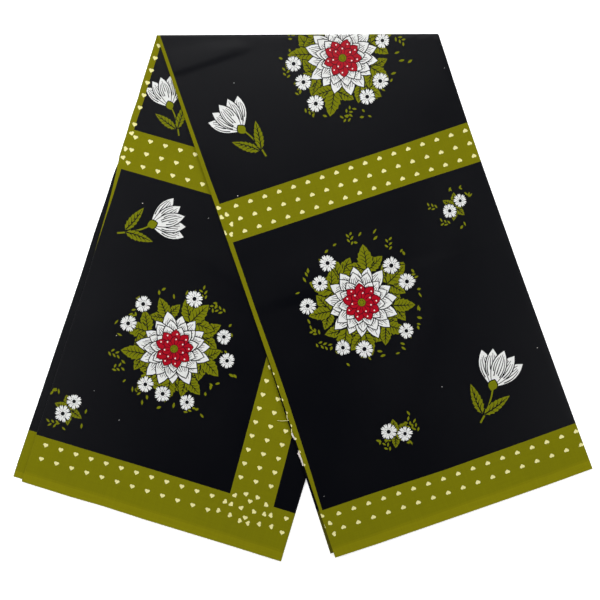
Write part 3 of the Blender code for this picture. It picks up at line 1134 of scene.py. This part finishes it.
def cotton():
    """Printed cotton: the mesh's inks, uneven dye, a fine weave and a slight glaze."""
    material, tree, shader = new_material("printed_cotton")
    colours = tree.nodes.new("ShaderNodeVertexColor")
    colours.layer_name = "print"
    ink = colours.outputs["Color"]
    flat = tree.nodes.new("ShaderNodeUVMap")
    flat.uv_map = "cloth"
    place = flat.outputs["UV"]

    def clouds(scale, detail, spread, stretch=(1.0, 1.0, 1.0)):
        stretched = added_node(tree, "ShaderNodeMapping", {"Vector": place, "Scale": stretch})
        sockets = {"Vector": stretched["Vector"], "Scale": scale, "Detail": detail}
        return map_range(tree, added_node(tree, "ShaderNodeTexNoise", sockets)["Fac"], NOISE_RANGE, spread)

    def maths(operation, first, second=0.0):
        node = tree.nodes.new("ShaderNodeMath")
        node.operation = operation
        return fill(tree, node, {0: first, 1: second})["Value"]

    # Uneven dye: broad clouds, and slubs both ways
    weft = clouds(SLUBS, 2.0, DYE, (SLUB_LONG, SLUB_NARROW, 1.0))
    warp = clouds(SLUBS, 2.0, DYE, (SLUB_NARROW, SLUB_LONG, 1.0))
    dye = maths("MULTIPLY", clouds(CLOUDS, 2.0, DYE), maths("MULTIPLY", weft, warp))
    tint = tree.nodes.new("ShaderNodeVectorMath")
    tint.operation = "SCALE"
    tinted = fill(tree, tint, {0: ink, "Scale": dye})["Vector"]

    # The black ground is glazed smoother than the coloured inks
    green = added_node(tree, "ShaderNodeSeparateColor", {"Color": ink})["Green"]
    dullness = map_range(tree, green, (0.0, COLOURED), (0.0, INK_DULLNESS))
    roughness = maths("ADD", clouds(GLAZE_CLOUDS, 1.0, GLAZE), dullness)

    # Plain weave: rows of threads over and under each other
    threads = added_node(tree, "ShaderNodeSeparateXYZ", {"Vector": place})
    waves = [
        maths("SINE", maths("MULTIPLY", threads[axis], 2 * math.pi / WEAVE_PITCH)) for axis in ("X", "Y")
    ]
    weave = maths("MULTIPLY", maths("MULTIPLY", *waves), WEAVE_SHARE)
    relief = maths("ADD", weave, maths("ADD", weft, warp))
    sockets = {"Height": relief, "Strength": RELIEF, "Distance": WEAVE_DEPTH}
    normal = added_node(tree, "ShaderNodeBump", sockets)["Normal"]

    fill(tree, shader, {"Base Color": tinted, "Roughness": roughness, "Normal": normal})
    shader.inputs["Specular IOR Level"].default_value = SPECULAR
    return material


COTTON = cotton()


def aimed(name, data, place, direction):
    """A camera or light at a place, turned to look in a direction."""
    obj = bpy.data.objects.new(name, data)
    obj.location = place
    obj.rotation_mode = "QUATERNION"
    obj.rotation_quaternion = direction.to_track_quat("-Z", "Y")
    bpy.context.scene.collection.objects.link(obj)
    return obj


def place_camera():
    lens = bpy.data.cameras.new("camera")
    lens.lens = LENS
    lens.sensor_width = SENSOR
    back = Vector((0.0, -math.sin(CAMERA_PITCH), math.cos(CAMERA_PITCH)))
    aim = Vector((*(CORNERS["left"][0] + AIM_FROM_FOLD), 0.0))
    bpy.context.scene.camera = aimed("camera", lens, aim + back * CAMERA_DISTANCE, -back)


# Three soft lights over the cloth: where each one is, and its power
SOFTBOX_SIZE = 0.8
SOFTBOXES = {
    "right softbox": ((0.85, 0.0, 0.85), 6.7),
    "left softbox": ((-0.85, 0.10, 0.85), 8.3),
    "top softbox": ((-0.1, 1.15, 1.45), 18.5),
}

# The room's light: bright walls up to one sine of the elevation, and darker from there to another
WALL_TOP = 0.06
CEILING = 0.25
WALL_LIGHT = 0.70
CEILING_LIGHT = 0.02

# The floor: white paper, just under the cloth, that glows a little
FLOOR_SIZE = 60.0
FLOOR_LEVEL = -0.0002
FLOOR_GLOW = 0.60
PAPER = (0.93, 0.93, 0.93, 1.0)
PAPER_ROUGHNESS = 0.9
WHITE = (1.0, 1.0, 1.0, 1.0)


def softbox(name, place, power):
    """A square light that faces the cloth."""
    light = bpy.data.lights.new(name, "AREA")
    light.shape = "SQUARE"
    light.size = SOFTBOX_SIZE
    light.energy = power
    aimed(name, light, place, -Vector(place)).visible_camera = False


def paper():
    """The floor's paper."""
    material, tree, shader = new_material("paper")
    fill(tree, shader, {"Base Color": PAPER, "Roughness": PAPER_ROUGHNESS})
    fill(tree, shader, {"Emission Color": WHITE, "Emission Strength": FLOOR_GLOW})
    return material


def room():
    """Light from all round, brighter near the horizon than above."""
    world = bpy.data.worlds.new("room")
    world.use_nodes = True
    tree = world.node_tree
    around = tree.nodes.new("ShaderNodeTexCoord").outputs["Generated"]
    height = added_node(tree, "ShaderNodeSeparateXYZ", {"Vector": around})["Z"]
    light = map_range(tree, height, (WALL_TOP, CEILING), (WALL_LIGHT, CEILING_LIGHT))
    fill(tree, tree.nodes["Background"], {"Color": WHITE, "Strength": light})
    return world


def studio():
    """A pale floor and three soft lights in a room with bright walls."""
    bpy.ops.mesh.primitive_plane_add(size=FLOOR_SIZE, location=(0.0, 0.0, FLOOR_LEVEL))
    floor = bpy.context.object
    floor.name = "floor"
    floor.data.materials.append(paper())
    for name, (place, power) in SOFTBOXES.items():
        softbox(name, place, power)
    bpy.context.scene.world = room()
    bpy.context.scene.view_settings.view_transform = "Standard"


def sheet_area(outline):
    """Area inside a flat outline."""
    return abs(turning(outline)) / 2


# The visible sheets: leg, name, the solids that each one replaces and what it rests on
VISIBLE = (
    (
        "right", "right_leg_outer_cloth", ("right_leg_top_layer", "top_fold"),
        ["left_leg_top_cloth", "floor"],
    ),
    ("left", "left_leg_top_cloth", ("left_leg_top_layer",), ["floor"]),
)

# The hidden ones: leg, name, the layers that each one runs through, where it starts and ends, and
# which of its faces is the reverse, printed darker as painted shade
HIDDEN = (
    ("right", "right_leg_inner_cloth", (4, 5, 6, 3, 2), ("right", (1, 4)), ("left", (2,)), 1),
    ("left", "left_leg_lower_cloth", (1, 4, 5), ("left", (1,)), ("right", (5, 6)), 0),
    ("left", "left_leg_middle_cloth", (2, 3), ("left", (2,)), ("left", (3, 6)), 1),
)


def dress():
    """Every stretch of the cloth, in place of its solids."""
    for leg, name, nodes, under in VISIBLE:
        obj = top_sheet(leg, name)
        outline, _ = top_flat(leg)
        low, high = np.min(outline, 0), np.max(outline, 0)
        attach(obj, "root")
        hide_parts(*nodes)
        sheet_area(outline)
        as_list(under)
    for leg, name, *cloth in HIDDEN:
        obj, width = hidden_sheet(leg, name, *cloth)
        past = math.pi * FOLD_RADIUS if leg == "right" else 0.0
        tops = [top_of(leg, across, past) for across in (0.0, STRIP_WIDTH)]
        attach(obj, "root")
        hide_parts(f"{leg}_leg_under_layers")


place_camera()
dress()
studio()
